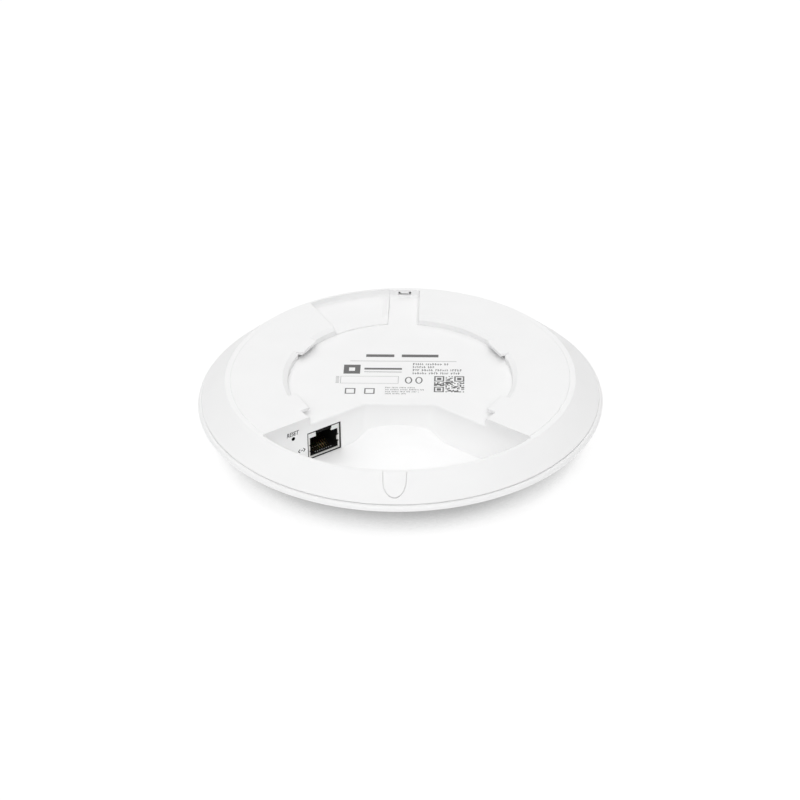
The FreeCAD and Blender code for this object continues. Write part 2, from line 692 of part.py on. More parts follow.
def heat_spreader():
    """Half-round aluminium plate under the shield cans, with a turned-down stiffening rim."""
    top = spreader_top()
    half = box(-BIG, 7.0, top - SPREADER_T, BIG, BIG, top)
    plate = cylinder(65.0, top - SPREADER_T, top).common(half)
    rim = tube(63.6, 65.0, top - 4.5, top).common(box(-BIG, 9.0, 0, BIG, BIG, BIG))
    holes = [cylinder(1.3, 0, TOP_Z, x, y) for x, y in spreader_spots()]
    return join([plate, rim]).cut(holes)


def plate_standoffs():
    posts = []
    for x, y in spreader_spots():
        post = cylinder(2.4, spreader_top(), BOARD_Z, x, y)
        posts.append(post.cut(cylinder(1.05, spreader_top() - 1, BOARD_Z - 0.4, x, y)))
    return group(posts)


def plate_screws():
    screws = []
    under = spreader_top() - SPREADER_T
    for x, y in spreader_spots():
        head = cylinder(2.1, under - 1.4, under, x, y)
        shank = cylinder(1.0, under, under + 3.6, x, y)
        drive = cylinder(0.8, under - 1.5, under - 0.6, x, y)
        screws.append(head.fuse(shank).removeSplitter().cut(drive))
    return group(screws)


def antenna(radius, angle, wide, high):
    """Stamped antenna: a foot on the spreader, a leg down and a plate that faces the dome."""
    top = spreader_top() - SPREADER_T
    sheet = 0.5
    foot = box(-7.0, -3.0, top - sheet, 0, 3.0, top)
    leg = box(-sheet, -3.0, top - high, 0, 3.0, top)
    plate = box(-wide, -wide * 0.7, top - high, 0, wide * 0.7, top - high + sheet)
    slit = box(-wide * 0.7, -wide * 0.35, 0, -wide * 0.5, wide * 0.8, top - 2 * sheet)
    shape = join([foot, leg, plate]).cut(slit)
    x, y = at_polar(radius, angle)
    return turned(shape, angle).translated(Vector(x, y, 0))


def poe_transformer_core():
    x, y = 40.0, -7.0
    top = BOARD_Z - 0.6
    outer = box(x - 7.5, y - 6.5, top - 10.5, x + 7.5, y + 6.5, top)
    window = box(x - 5.4, y - 7, top - 8.6, x + 5.4, y + 7, top - 1.9)
    leg = cylinder(2.3, top - 10.0, top - 0.5, x, y)
    return join([outer.cut(window), leg])


def poe_transformer_winding():
    x, y = 40.0, -7.0
    top = BOARD_Z - 0.6
    coil = cylinder(5.2, top - 8.5, top - 2.0, x, y).cut(cylinder(2.4, 0, TOP_Z, x, y))
    return coil


def bulk_capacitors():
    cans = []
    for x, y in ((27.0, -9.5), (27.0, 0.5), (55.0, -4.0)):
        can = cylinder(4.0, BOARD_Z - 10.2, BOARD_Z - 0.2, x, y)
        groove = Part.makeTorus(4.3, 0.5, Vector(x, y, BOARD_Z - 1.8))
        cans.append(can.cut(groove))
    return group(cans)


def power_inductors():
    spots = ((19.2, -11.2), (54.0, -17.0), (47.0, -23.0))
    return group([chip(x, y, 5.6, 5.6, 3.4) for x, y in spots])


def small_passives():
    """Rows of small resistors and capacitors between the larger parts."""
    rows = ((-16.0, 6.6, 9), (20.0, 43.0, 5), (-44.0, 41.5, 5),
            (30.0, 4.6, 5), (-60.0, 8.0, 4), (58.0, 8.0, 2))
    parts = []
    for x0, y0, count in rows:
        for number in range(count):
            parts.append(chip(x0 + number * 2.6, y0, 1.6, 0.8, 0.5, 90.0))
    return group(parts)


def ethernet_magnetics():
    top = BOARD_Z
    block = box(-1.5, 21.0, top - 5.8, 14.1, 31.5, top)
    return on_wall(block.makeChamfer(0.6, [e for e in block.Edges if e.CenterOfMass.z < top - 5.7]))


def bridge_rectifiers():
    return group([chip(60.0, -19.0, 4.6, 6.2, 2.2), chip(38.0, -19.5, 6.2, 4.6, 2.2)])


def crystals():
    return group([chip(x, y, 3.2, 2.5, 0.8) for x, y in ((-12.0, 14.0), (-48.0, 17.0), (26.0, 17.0))])


def status_leds():
    return group([chip(at_polar(4.0, a)[0], at_polar(4.0, a)[1], 1.6, 1.6, 0.8) for a in (0, 90, 180, 270)])


def main():
    os.makedirs("parts", exist_ok=True)
    save(front_cover(), "front_cover")
    save(back_shell(), "back_shell")
    save(cable_slot_cover(), "cable_slot_cover")
    save(centre_cap(), "centre_cap")
    save(light_ring(), "light_ring")
    save(light_guide(), "light_guide")
    save(jack_shield(), "jack_shield")
    save(jack_gasket(), "jack_gasket")
    save(jack_housing(), "jack_housing")
    save(jack_contacts(), "jack_contacts")
    save(jack_light_pipes(), "jack_light_pipes")
    save(reset_button(), "reset_button")
    save(reset_switch_body(), "reset_switch_body")
    save(reset_switch_cover(), "reset_switch_cover")
    save(main_board(), "main_board")
    save(board_screws(), "board_screws")
    for name, outline in CANS.items():
        save(shield_can(outline), name)
    save(chip(-3.0, 25.0, 15.0, 15.0, 1.4), "processor")
    save(group([chip(10.5, 19.0, 8.0, 10.5, 1.0), chip(10.5, 32.0, 8.0, 10.5, 1.0)]), "memory_chips")
    save(chip(-9.0, -7.0, 8.0, 6.0, 1.0), "flash_chip")
    save(chip(-22.0, 2.0, 7.0, 7.0, 0.9, 36.5), "ethernet_phy")
    save(chip(-36.5, 25.0, 12.0, 12.0, 1.2), "radio_chip_5ghz")
    save(chip(36.5, 25.0, 10.0, 10.0, 1.2), "radio_chip_24ghz")
    save(crystals(), "crystals")
    save(small_passives(), "small_passives")
    save(thermal_pads(), "thermal_pads")
    save(heat_spreader(), "heat_spreader")
    save(plate_standoffs(), "plate_standoffs")
    save(plate_screws(), "plate_screws")
    for number, angle in enumerate((28.0, 68.0, 112.0, 152.0), start=1):
        save(antenna(59.0, angle, 9.0, 7.0), "antenna_5ghz_%d" % number)
    for number, angle in enumerate((48.0, 132.0), start=1):
        save(antenna(56.0, angle, 14.0, 9.0), "antenna_24ghz_%d" % number)
    save(poe_transformer_core(), "poe_transformer_core")
    save(poe_transformer_winding(), "poe_transformer_winding")
    save(bulk_capacitors(), "bulk_capacitors")
    save(power_inductors(), "power_inductors")
    save(bridge_rectifiers(), "bridge_rectifiers")
    save(chip(13.0, -6.0, 6.0, 6.0, 0.9), "power_controller")
    save(ethernet_magnetics(), "ethernet_magnetics")
    save(status_leds(), "status_leds")


main()
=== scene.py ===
import math
import random

import bmesh
import bpy
from mathutils import Matrix, Vector


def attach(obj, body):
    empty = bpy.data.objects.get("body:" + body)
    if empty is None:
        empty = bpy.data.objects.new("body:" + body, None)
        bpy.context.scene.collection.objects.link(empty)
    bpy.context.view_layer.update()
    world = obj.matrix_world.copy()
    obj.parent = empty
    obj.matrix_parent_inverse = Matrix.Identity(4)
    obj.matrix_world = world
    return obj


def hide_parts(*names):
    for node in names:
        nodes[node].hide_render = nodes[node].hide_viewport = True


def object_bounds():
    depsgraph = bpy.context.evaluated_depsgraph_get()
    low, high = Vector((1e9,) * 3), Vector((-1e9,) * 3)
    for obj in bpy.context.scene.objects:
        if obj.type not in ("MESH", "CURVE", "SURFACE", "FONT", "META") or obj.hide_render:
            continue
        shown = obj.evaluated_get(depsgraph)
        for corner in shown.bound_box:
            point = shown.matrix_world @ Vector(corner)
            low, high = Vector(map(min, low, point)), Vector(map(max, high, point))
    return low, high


# A ceiling access point, back side up on a white table. Metres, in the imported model's frame.

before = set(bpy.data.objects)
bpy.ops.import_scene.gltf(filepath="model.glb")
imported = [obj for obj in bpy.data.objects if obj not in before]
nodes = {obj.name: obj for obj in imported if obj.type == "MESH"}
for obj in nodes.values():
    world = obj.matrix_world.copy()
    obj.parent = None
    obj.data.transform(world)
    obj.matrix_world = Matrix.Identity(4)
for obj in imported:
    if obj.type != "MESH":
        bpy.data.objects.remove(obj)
cad_low, cad_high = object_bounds()

MM = 0.001
scene = bpy.context.scene


# Camera

ELEVATION = math.radians(32.15)
YAW = math.radians(2.0)
ROLL = math.radians(0.643)
DISTANCE = 1.0
AIM = Vector((-0.15, 0.0, 20.6)) * MM

right = Vector((1, 0, 0))
up = Vector((0, math.sin(ELEVATION), math.cos(ELEVATION)))
forward = Vector((0, math.cos(ELEVATION), -math.sin(ELEVATION)))
rolled_right = right * math.cos(ROLL) - up * math.sin(ROLL)
rolled_up = right * math.sin(ROLL) + up * math.cos(ROLL)
basis = Matrix((rolled_right, rolled_up, -forward)).transposed().to_4x4()
camera = bpy.data.objects.new("camera", bpy.data.cameras.new("camera"))
scene.collection.objects.link(camera)
camera.data.sensor_width = 36.0
camera.data.lens = 113.44
camera.data.clip_start = 0.01
camera.data.clip_end = 50.0
camera.matrix_world = Matrix.Rotation(YAW, 4, "Z") @ Matrix.Translation(AIM - forward * DISTANCE) @ basis
scene.camera = camera


# Materials

class Shader:
    """A material with a Principled shader, and short ways to feed it procedural patterns."""

    def __init__(self, name, **constants):
        self.material = bpy.data.materials.new(name)
        self.material.use_nodes = True
        self.tree = self.material.node_tree
        self.principled = self.tree.nodes["Principled BSDF"]
        for key, value in constants.items():
            self.principled.inputs[key.replace("_", " ")].default_value = value
        self.coords = self.tree.nodes.new("ShaderNodeTexCoord").outputs["Object"]

    @classmethod
    def again(cls, material):
        """Take up a material that is already made, to add to it."""
        s = cls.__new__(cls)
        s.material, s.tree = material, material.node_tree
        s.principled = s.tree.nodes["Principled BSDF"]
        s.coords = s.tree.nodes["Texture Coordinate"].outputs["Object"]
        return s

    def node(self, kind, inputs=None, **settings):
        made = self.tree.nodes.new(kind)
        for key, value in settings.items():
            setattr(made, key, value)
        for key, value in (inputs or {}).items():
            if isinstance(value, bpy.types.NodeSocket):
                self.tree.links.new(value, made.inputs[key])
            else:
                made.inputs[key].default_value = value
        return made

    def place(self, stretch=(1, 1, 1), turn=0.0):
        inputs = {"Vector": self.coords, "Scale": stretch, "Rotation": (0, 0, turn)}
        mapping = self.node("ShaderNodeMapping", inputs)
        return mapping.outputs["Vector"]

    def noise(self, per_metre, detail=3.0, where=None):
        inputs = {"Vector": where or self.coords, "Scale": per_metre, "Detail": detail}
        made = self.node("ShaderNodeTexNoise", inputs)
        return made.outputs["Fac"]

    def span(self, value, low, high, to_low=0.0, to_high=1.0):
        inputs = {"Value": value, "From Min": low, "From Max": high, "To Min": to_low, "To Max": to_high}
        made = self.node("ShaderNodeMapRange", inputs)
        return made.outputs["Result"]

    def blend(self, factor, colour_a, colour_b):
        """Colour that runs from a to b with a varying factor. Either may be a socket."""
        made = self.node("ShaderNodeMix", data_type="RGBA")
        self.tree.links.new(factor, made.inputs[0])
        for index, colour in ((6, colour_a), (7, colour_b)):
            if isinstance(colour, bpy.types.NodeSocket):
                self.tree.links.new(colour, made.inputs[index])
            else:
                made.inputs[index].default_value = (*colour, 1.0)
        return made.outputs[2]

    def set(self, socket, value):
        self.tree.links.new(value, self.principled.inputs[socket])
        return self

    def bump(self, height, depth, strength=1.0):
        """Raise the surface by a pattern, with a depth in metres."""
        made = self.node("ShaderNodeBump", {"Height": height, "Distance": depth, "Strength": strength})
        previous = self.principled.inputs["Normal"].links
        if previous:
            self.tree.links.new(previous[0].from_socket, made.inputs["Normal"])
        self.tree.links.new(made.outputs["Normal"], self.principled.inputs["Normal"])
        return self


def moulded(name, colour_low, colour_high, rough, grain, depth, edge=0.0, **constants):
    """Moulded plastic with an eroded grain, faint flow marks, a slightly uneven gloss and softened edges."""
    s = Shader(name, **constants)
    if edge:
        s.set("Normal", s.node("ShaderNodeBevel", {"Radius": edge}, samples=6).outputs["Normal"])
    cloud = s.noise(60.0, 2.0)
    s.set("Base Color", s.blend(s.span(cloud, 0.3, 0.7), colour_low, colour_high))
    fine = s.noise(grain, 2.0)
    s.set("Roughness", s.span(s.noise(900.0, 4.0), 0.3, 0.7, rough[0], rough[1]))
    return s.bump(fine, depth).material


def metal(name, colour_low, colour_high, rough, stretch, depth, turn=0.0):
    """Rolled or brushed metal: fine streaks in one direction over a cloudy tone."""
    s = Shader(name, Metallic=1.0)
    streaks = s.noise(9000.0, 2.0, s.place(stretch, turn))
    cloud = s.noise(180.0, 3.0)
    s.set("Base Color", s.blend(s.span(cloud, 0.3, 0.7), colour_low, colour_high))
    s.set("Roughness", s.span(streaks, 0.25, 0.75, rough[0], rough[1]))
    return s.bump(streaks, depth).material


def epoxy(name, colour_low, colour_high, rough=(0.45, 0.65)):
    """Filled moulding compound: dark, speckled with filler and lightly pitted."""
    s = Shader(name)
    speck = s.noise(12000.0, 2.0)
    s.set("Base Color", s.blend(s.span(speck, 0.4, 0.75), colour_low, colour_high))
    s.set("Roughness", s.span(s.noise(2500.0, 3.0), 0.3, 0.7, rough[0], rough[1]))
    return s.bump(speck, 6e-6).material


def circuit_board(name):
    """Solder mask over etched tracks: straight runs in two directions, with tinned pads between."""
    s = Shader(name)
    runs = s.node("ShaderNodeTexBrick", {
        "Vector": s.place((1, 1, 0)), "Scale": 260.0, "Mortar Size": 0.06, "Mortar Smooth": 0.2,
        "Color1": (0.0, 0.0, 0.0, 1), "Color2": (0.25, 0.25, 0.25, 1), "Mortar": (1, 1, 1, 1)})
    pads = s.node("ShaderNodeTexVoronoi", {"Vector": s.place((1, 1, 0)), "Scale": 420.0, "Randomness": 0.85})
    pad = s.span(pads.outputs["Distance"], 0.10, 0.16, 1.0, 0.0)
    track = s.blend(runs.outputs["Fac"], (0.012, 0.045, 0.035), (0.03, 0.11, 0.075))
    s.set("Base Color", s.blend(pad, track, (0.55, 0.53, 0.46)))
    s.set("Metallic", s.span(pad, 0.0, 1.0, 0.0, 0.9))
    s.set("Roughness", s.span(s.noise(1500.0, 3.0), 0.3, 0.7, 0.28, 0.42))
    return s.bump(runs.outputs["Fac"], 2e-5).material


def winding(name):
    """Turns of wire under tape: fine ridges around the coil."""
    s = Shader(name)
    inputs = {"Vector": s.coords, "Scale": 900.0, "Distortion": 0.6}
    ridges = s.node("ShaderNodeTexWave", inputs, bands_direction="Z").outputs["Fac"]
    s.set("Base Color", s.blend(ridges, (0.35, 0.22, 0.03), (0.72, 0.5, 0.1)))
    s.set("Roughness", s.span(s.noise(1200.0), 0.3, 0.7, 0.3, 0.45))
    return s.bump(ridges, 4e-5).material


def ink(name, tone_low, tone_high):
    """Pad-printed ink: thin, slightly starved in places, with a soft sheen."""
    s = Shader(name)
    starved = s.noise(5000.0, 3.0)
    s.set("Base Color", s.blend(s.span(starved, 0.45, 0.8), (tone_low,) * 3, (tone_high,) * 3))
    s.set("Roughness", s.span(s.noise(2000.0, 2.0), 0.3, 0.7, 0.4, 0.55))
    return s.bump(starved, 2e-6).material


def clear(name, colour, rough, **constants):
    """Clear or cloudy moulded optic with faint flow lines."""
    s = Shader(name, **constants)
    flow = s.noise(300.0, 3.0, s.place((1, 1, 0.2)))
    s.set("Base Color", s.blend(s.span(flow, 0.3, 0.7), tuple(c * 0.97 for c in colour), colour))
    s.set("Roughness", s.span(s.noise(1500.0, 2.0), 0.3, 0.7, rough[0], rough[1]))
    return s.bump(flow, 1e-5).material


WHITE = ((0.915, 0.915, 0.915), (0.93, 0.93, 0.93))


def shell_plastic(name):
    """The back shell's plastic: textured, with painted light that makes it brighter deep inside the cable
    pocket.
    """
    material = moulded(name, *WHITE, (0.42, 0.52), 5200.0, 7e-6, 0.35 * MM, Specular_IOR_Level=0.15)
    s = Shader.again(material)
    from_axis = s.node("ShaderNodeVectorMath", {0: s.place((1, 1, 0))}, operation="LENGTH").outputs["Value"]
    height = s.node("ShaderNodeSeparateXYZ", {0: s.coords}).outputs["Z"]
    # Painted light: inside the rim, the colour whitens from the recess floor's height down into the cable
    # pocket.
    deep = s.span(height, 29.3 * MM, 25 * MM)
    inside = s.span(from_axis, 67.9 * MM, 68.0 * MM, 1.0, 0.0)
    painted_pocket_light = s.node("ShaderNodeMath", {0: deep, 1: inside}, operation="MULTIPLY").outputs["Value"]
    socket = s.principled.inputs["Base Color"]
    s.set("Base Color", s.blend(painted_pocket_light, socket.links[0].from_socket, (0.965, 0.965, 0.965)))
    return material


WHITE_BACK = shell_plastic("white_textured_plastic")
WHITE_FRONT = moulded("white_satin_plastic", *WHITE, (0.3, 0.38), 4200.0, 3e-6, 0.25 * MM)
BLACK_PLASTIC = moulded("black_connector_plastic", (0.012, 0.012, 0.013), (0.02, 0.02, 0.021),
                        (0.35, 0.5), 6000.0, 8e-6)
DEEP_BLACK = moulded("deep_black_plastic", (0.004, 0.004, 0.004), (0.008, 0.008, 0.008),
                     (0.5, 0.65), 6000.0, 5e-6, Specular_IOR_Level=0.1)
PLUNGER = moulded("black_plunger_plastic", (0.006, 0.006, 0.006), (0.012, 0.012, 0.012),
                  (0.35, 0.5), 6000.0, 5e-6)
DIFFUSER = clear("milky_diffuser", (0.88, 0.9, 0.92), (0.3, 0.4),
                 Subsurface_Weight=0.4, Subsurface_Scale=0.002)
ACRYLIC = clear("clear_acrylic", (0.95, 0.97, 0.97), (0.04, 0.1), Transmission_Weight=0.9, IOR=1.49)
PIPE = clear("light_pipe_polycarbonate", (0.86, 0.87, 0.87), (0.3, 0.42),
             Subsurface_Weight=0.3, Subsurface_Scale=0.001)
TINNED = metal("tinned_steel", (0.78, 0.77, 0.75), (0.9, 0.89, 0.87), (0.38, 0.55), (1, 1, 0.06), 2e-6)
ZINC = metal("zinc_plated_steel", (0.55, 0.57, 0.6), (0.72, 0.74, 0.76), (0.25, 0.45), (0.3, 0.3, 1), 3e-6)
GOLD = metal("gold_plating", (0.83, 0.6, 0.25), (0.95, 0.74, 0.36), (0.15, 0.28), (0.1, 1, 1), 1e-6)
ALUMINIUM = metal("aluminium_plate", (0.68, 0.69, 0.7), (0.82, 0.82, 0.83), (0.3, 0.5), (1, 0.03, 1), 4e-6)
BRASS = metal("turned_brass", (0.62, 0.44, 0.18), (0.75, 0.56, 0.26), (0.2, 0.35), (0.2, 0.2, 1), 3e-6)
ANTENNA = metal("stamped_antenna_metal", (0.62, 0.6, 0.55), (0.78, 0.76, 0.7), (0.25, 0.42),
                (1, 0.05, 1), 3e-6)
CAN_SLEEVE = metal("capacitor_can", (0.6, 0.6, 0.62), (0.75, 0.75, 0.77), (0.25, 0.4), (1, 1, 0.04), 2e-6)
CHIP = epoxy("chip_compound", (0.012, 0.012, 0.013), (0.045, 0.045, 0.047))
FERRITE = epoxy("ferrite", (0.02, 0.02, 0.022), (0.06, 0.06, 0.065), (0.5, 0.7))
CERAMIC = epoxy("ceramic", (0.32, 0.24, 0.16), (0.5, 0.4, 0.3), (0.4, 0.6))
PAD = epoxy("thermal_pad", (0.28, 0.34, 0.42), (0.38, 0.44, 0.52), (0.6, 0.8))
LED = epoxy("led_package", (0.75, 0.75, 0.7), (0.88, 0.87, 0.8), (0.3, 0.5))
BOARD = circuit_board("solder_mask_board")
COIL = winding("taped_winding")
GREY_INK = ink("grey_ink", 0.12, 0.18)
PALE_INK = ink("pale_ink", 0.5, 0.6)
BLACK_INK = ink("black_ink", 0.012, 0.03)

NODE_FINISH = {
    "back_shell": WHITE_BACK, "cable_slot_cover": WHITE_BACK,
    "front_cover": WHITE_FRONT, "centre_cap": WHITE_FRONT,
    "light_ring": DIFFUSER, "light_guide": ACRYLIC, "status_leds": LED,
    "jack_shield": TINNED, "jack_housing": DEEP_BLACK, "jack_contacts": GOLD,
    "jack_light_pipes": PIPE, "jack_gasket": BLACK_PLASTIC,
    "reset_button": PLUNGER, "reset_switch_body": BLACK_PLASTIC, "reset_switch_cover": TINNED,
    "main_board": BOARD, "board_screws": ZINC, "processor": CHIP, "memory_chips": CHIP, "flash_chip": CHIP,
    "ethernet_phy": CHIP, "radio_chip_5ghz": CHIP, "radio_chip_24ghz": CHIP, "power_controller": CHIP,
    "bridge_rectifiers": CHIP, "ethernet_magnetics": CHIP, "crystals": TINNED, "small_passives": CERAMIC,
    "thermal_pads": PAD, "heat_spreader": ALUMINIUM, "plate_standoffs": BRASS, "plate_screws": ZINC,
    "poe_transformer_core": FERRITE, "poe_transformer_winding": COIL, "bulk_capacitors": CAN_SLEEVE,
    "power_inductors": FERRITE,
}
for name, node in nodes.items():
    if name.startswith("antenna"):
        finish = ANTENNA
    elif name.startswith("shield_can"):
        finish = TINNED
    else:
        finish = NODE_FINISH[name]
    for slot in node.material_slots:
        slot.material = finish


# Front shell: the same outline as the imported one, turned in fine steps so that its rim stays smooth

RIM_R = cad_high.x / MM
RIM_Z = 22.4
FLAT_R = 22.0
EDGE_SLOPE = math.radians(30.5)
RIM_ROUND = 0.6
WALL = 1.8
SEAM_R = 78.6
RIM_TOP = 23.8
SHELF_Z = 21.9
LIP = (73.3, 74.7, 24.9)
CAP_HOLE = 27.4
CAP_SEAT = (29.3, 2.1)
STEPS = 360


def arc_points(centre, radius, start, end, count):
    """Points of an arc in (radius, height), from one angle to another."""
    turns = [start + (end - start) * i / count for i in range(count + 1)]
    return [(centre[0] + radius * math.cos(t), centre[1] + radius * math.sin(t)) for t in turns]


def on_dome(radius, inset, dome_r):
    """Angle on the dome's arc, seen from its centre, of a point at a radius from the axis."""
    return -math.acos((radius - FLAT_R) / (dome_r - inset))


def front_outline():
    down = -math.pi / 2
    rim_end = (RIM_R - RIM_ROUND * (1 - math.sin(EDGE_SLOPE)), RIM_Z - RIM_ROUND * math.cos(EDGE_SLOPE))
    rise = (rim_end[0] - FLAT_R) * math.tan(EDGE_SLOPE) - rim_end[1]
    dome_r = rise / (math.sin(EDGE_SLOPE) * math.tan(EDGE_SLOPE) - 1 + math.cos(EDGE_SLOPE))
    middle = (FLAT_R, dome_r)
    round_top = RIM_R - SEAM_R
    outside = arc_points(middle, dome_r, on_dome(CAP_HOLE, 0, dome_r), down + EDGE_SLOPE, 28)
    rim = arc_points((RIM_R - RIM_ROUND, RIM_Z), RIM_ROUND, down + EDGE_SLOPE, 0, 6)
    top = arc_points((SEAM_R, RIM_TOP - round_top), round_top, 0, math.pi / 2, 10)
    inside = arc_points(middle, dome_r - WALL, down + EDGE_SLOPE, on_dome(CAP_SEAT[0], WALL, dome_r), 28)
    shelf = (inside[0][0] + (SHELF_Z - inside[0][1]) / math.tan(EDGE_SLOPE), SHELF_Z)
    steps = [(LIP[1], RIM_TOP), (LIP[1], LIP[2]), (LIP[0], LIP[2]), (LIP[0], SHELF_Z), shelf]
    return outside + rim[:-1] + top + steps + inside + [(CAP_SEAT[0], CAP_SEAT[1]), (CAP_HOLE, CAP_SEAT[1])]


def skin(name, sections, closed, material):
    """Join equal cross-sections in millimetres, one after another, into a solid that rides the housing."""
    mesh = bmesh.new()
    rings = [[mesh.verts.new((x * MM, y * MM, z * MM)) for x, y, z in section] for section in sections]
    pairs = list(zip(rings, rings[1:]))
    if closed:
        pairs.append((rings[-1], rings[0]))
    else:
        mesh.faces.new(rings[0])
        mesh.faces.new(rings[-1])
    for here, there in pairs:
        for i in range(len(here)):
            j = (i + 1) % len(here)
            mesh.faces.new((here[i], there[i], there[j], here[j]))
    bmesh.ops.remove_doubles(mesh, verts=mesh.verts, dist=1e-7)
    bmesh.ops.dissolve_degenerate(mesh, edges=mesh.edges, dist=1e-7)
    bmesh.ops.recalc_face_normals(mesh, faces=mesh.faces)
    data = bpy.data.meshes.new(name)
    mesh.to_mesh(data)
    mesh.free()
    data.materials.append(material)
    data.shade_smooth()
    piece = bpy.data.objects.new(name, data)
    scene.collection.objects.link(piece)
    chosen = {"object": piece, "active_object": piece,
              "selected_objects": [piece], "selected_editable_objects": [piece]}
    with bpy.context.temp_override(**chosen):
        bpy.ops.object.shade_smooth_by_angle(angle=math.radians(35))
    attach(piece, "housing")
    return piece


def turned(outline, notch=0.0, notch_top=0.0):
    """Cross-sections of an outline turned about the axis, cut down across a notch at the front."""
    sections = []
    for step in range(STEPS):
        turn = 2 * math.pi * step / STEPS
        section = []
        for radius, height in outline:
            x, y = radius * math.cos(turn), radius * math.sin(turn)
            in_notch = y < 0 and abs(x) < notch
            section.append((x, y, min(height, notch_top) if in_notch else height))
        sections.append(section)
    return sections


def front_shell():
    sections = turned(front_outline(), 6.5, RIM_TOP)        # the lip stops at the cable slot
    piece = skin("front_shell", sections, True, WHITE_FRONT)
    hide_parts("front_cover")


# Thin white strips that lie just inside the seam and the slot cover's gap, and keep dust out

SEAM = (23.82, 24.08)
CONE_FOOT = (78.6, 24.1)
CONE_TOP = (69.5, 32.45)
SLOT_HALF = 4.5
SLOT_CENTRE_Z = 30.3
SUNK = 0.12                 # from the conical side to the strip's face, and to its back
STRIP_BACK = 0.8


def seam_strip():
    outer = CONE_FOOT[0] - 0.2
    outline = [(77.8, SEAM[0]), (outer, SEAM[0]), (outer, SEAM[1]), (77.8, SEAM[1])]
    skin("seam_strip", turned(outline), True, WHITE_BACK)


def cone_y(x, z, sunk):
    """Where a surface sunk below the conical side lies at the front."""
    up_the_cone = (z - CONE_FOOT[1]) / (CONE_TOP[1] - CONE_FOOT[1])
    radius = CONE_FOOT[0] + (CONE_TOP[0] - CONE_FOOT[0]) * up_the_cone - sunk
    return -math.sqrt(radius ** 2 - x ** 2)


def slot_strip():
    """A strip down one side of the slot, around its half-round bottom and up the other side."""
    arc = [math.pi + math.pi * i / 32 for i in range(33)]
    path = [(math.cos(t), SLOT_CENTRE_Z, math.sin(t)) for t in arc]
    path = [(-1, CONE_TOP[1] - 0.2, 0)] + path + [(1, CONE_TOP[1] - 0.2, 0)]
    outer, inner = SLOT_HALF - 0.02, SLOT_HALF - 0.23
    corners = ((outer, SUNK), (inner, SUNK), (inner, STRIP_BACK), (outer, STRIP_BACK))
    sections = []
    for side, base, drop in path:
        section = []
        for reach, sunk in corners:
            x, z = side * reach, base + drop * reach
            section.append((x, cone_y(x, z, sunk), z))
        sections.append(section)
    skin("slot_strip", sections, False, WHITE_BACK)


front_shell()
seam_strip()
slot_strip()


# Printed marks, as thin raised ink

INK_T = 0.02 * MM
RECESS_FLOOR = 29.4 * MM


class Print:
    """Flat shapes drawn in millimetres on a plane, raised from one height to another, as ink by default."""

    def __init__(self, name, matrix, material, low=0.0, high=INK_T):
        self.name = name
        self.matrix = matrix
        self.material = material
        self.low = low
        self.high = high
        self.mesh = bmesh.new()

    def polygon(self, points):
        bottom = [self.mesh.verts.new((x * MM, y * MM, self.low)) for x, y in points]
        top = [self.mesh.verts.new((x * MM, y * MM, self.high)) for x, y in points]
        self.mesh.faces.new(top)
        self.mesh.faces.new(list(reversed(bottom)))
        for i in range(len(points)):
            j = (i + 1) % len(points)
            self.mesh.faces.new((bottom[i], bottom[j], top[j], top[i]))

    def bar(self, x0, y0, x1, y1):
        self.polygon([(x0, y0), (x1, y0), (x1, y1), (x0, y1)])

    def loop(self, points, width):
        """A closed outline of the given width, inside the points, which run anticlockwise."""
        inner = []
        count = len(points)
        for i in range(count):
            a, b, c = (Vector(points[(i + k) % count]) for k in (-1, 0, 1))
            before, after = (b - a).normalized(), (c - b).normalized()
            normal = (Vector((-before.y, before.x)) + Vector((-after.y, after.x))).normalized()
            lean = max(0.3, normal.dot(Vector((-before.y, before.x))))
            inner.append(b + normal * (width / lean))
        for i in range(count):
            j = (i + 1) % count
            self.polygon([points[i], points[j], tuple(inner[j]), tuple(inner[i])])

    def frame(self, x0, y0, x1, y1, width):
        self.loop([(x0, y0), (x1, y0), (x1, y1), (x0, y1)], width)

    def ring(self, x, y, radii, width, sides=28):
        turns = [2 * math.pi / sides * i for i in range(sides)]
        self.loop([(x + radii[0] * math.cos(t), y + radii[1] * math.sin(t)) for t in turns], width)

    def done(self):
        data = bpy.data.meshes.new(self.name)
        bmesh.ops.recalc_face_normals(self.mesh, faces=self.mesh.faces)
        self.mesh.to_mesh(data)
        self.mesh.free()
        data.materials.append(self.material)
        add(self.name, data, self.matrix)


def add(name, data, matrix):
    piece = bpy.data.objects.new(name, data)
    scene.collection.objects.link(piece)
    piece.matrix_world = matrix
    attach(piece, "housing")


floor_plane = Matrix.Translation((0, 0, RECESS_FLOOR + 0.002 * MM))


def words(mark, rng, x0, x1, y, height):
    """A line of placeholder text: words of small upright strokes and dots that spell nothing."""
    x = x0
    while x < x1 - 0.5 * height:
        for _ in range(rng.randint(3, 7)):
            wide = height * rng.uniform(0.32, 0.6)
            if x + wide > x1:
                break
            tall = height * rng.choice((0.75, 1.0, 1.0))
            mark.bar(x, y - height / 2, x + wide * 0.45, y - height / 2 + tall)
            cross = y + height * rng.uniform(-0.4, 0.25)
            mark.bar(x + wide * 0.45, cross, x + wide, cross + height * 0.2)
            x += wide + 0.16 * height
        x += 0.5 * height


def finder(mark, x, y, size):
    """Corner square of the dot matrix."""
    mark.frame(x, y, x + size, y + size, size / 7)
    mark.bar(x + size * 2 / 7, y + size * 2 / 7, x + size * 5 / 7, y + size * 5 / 7)


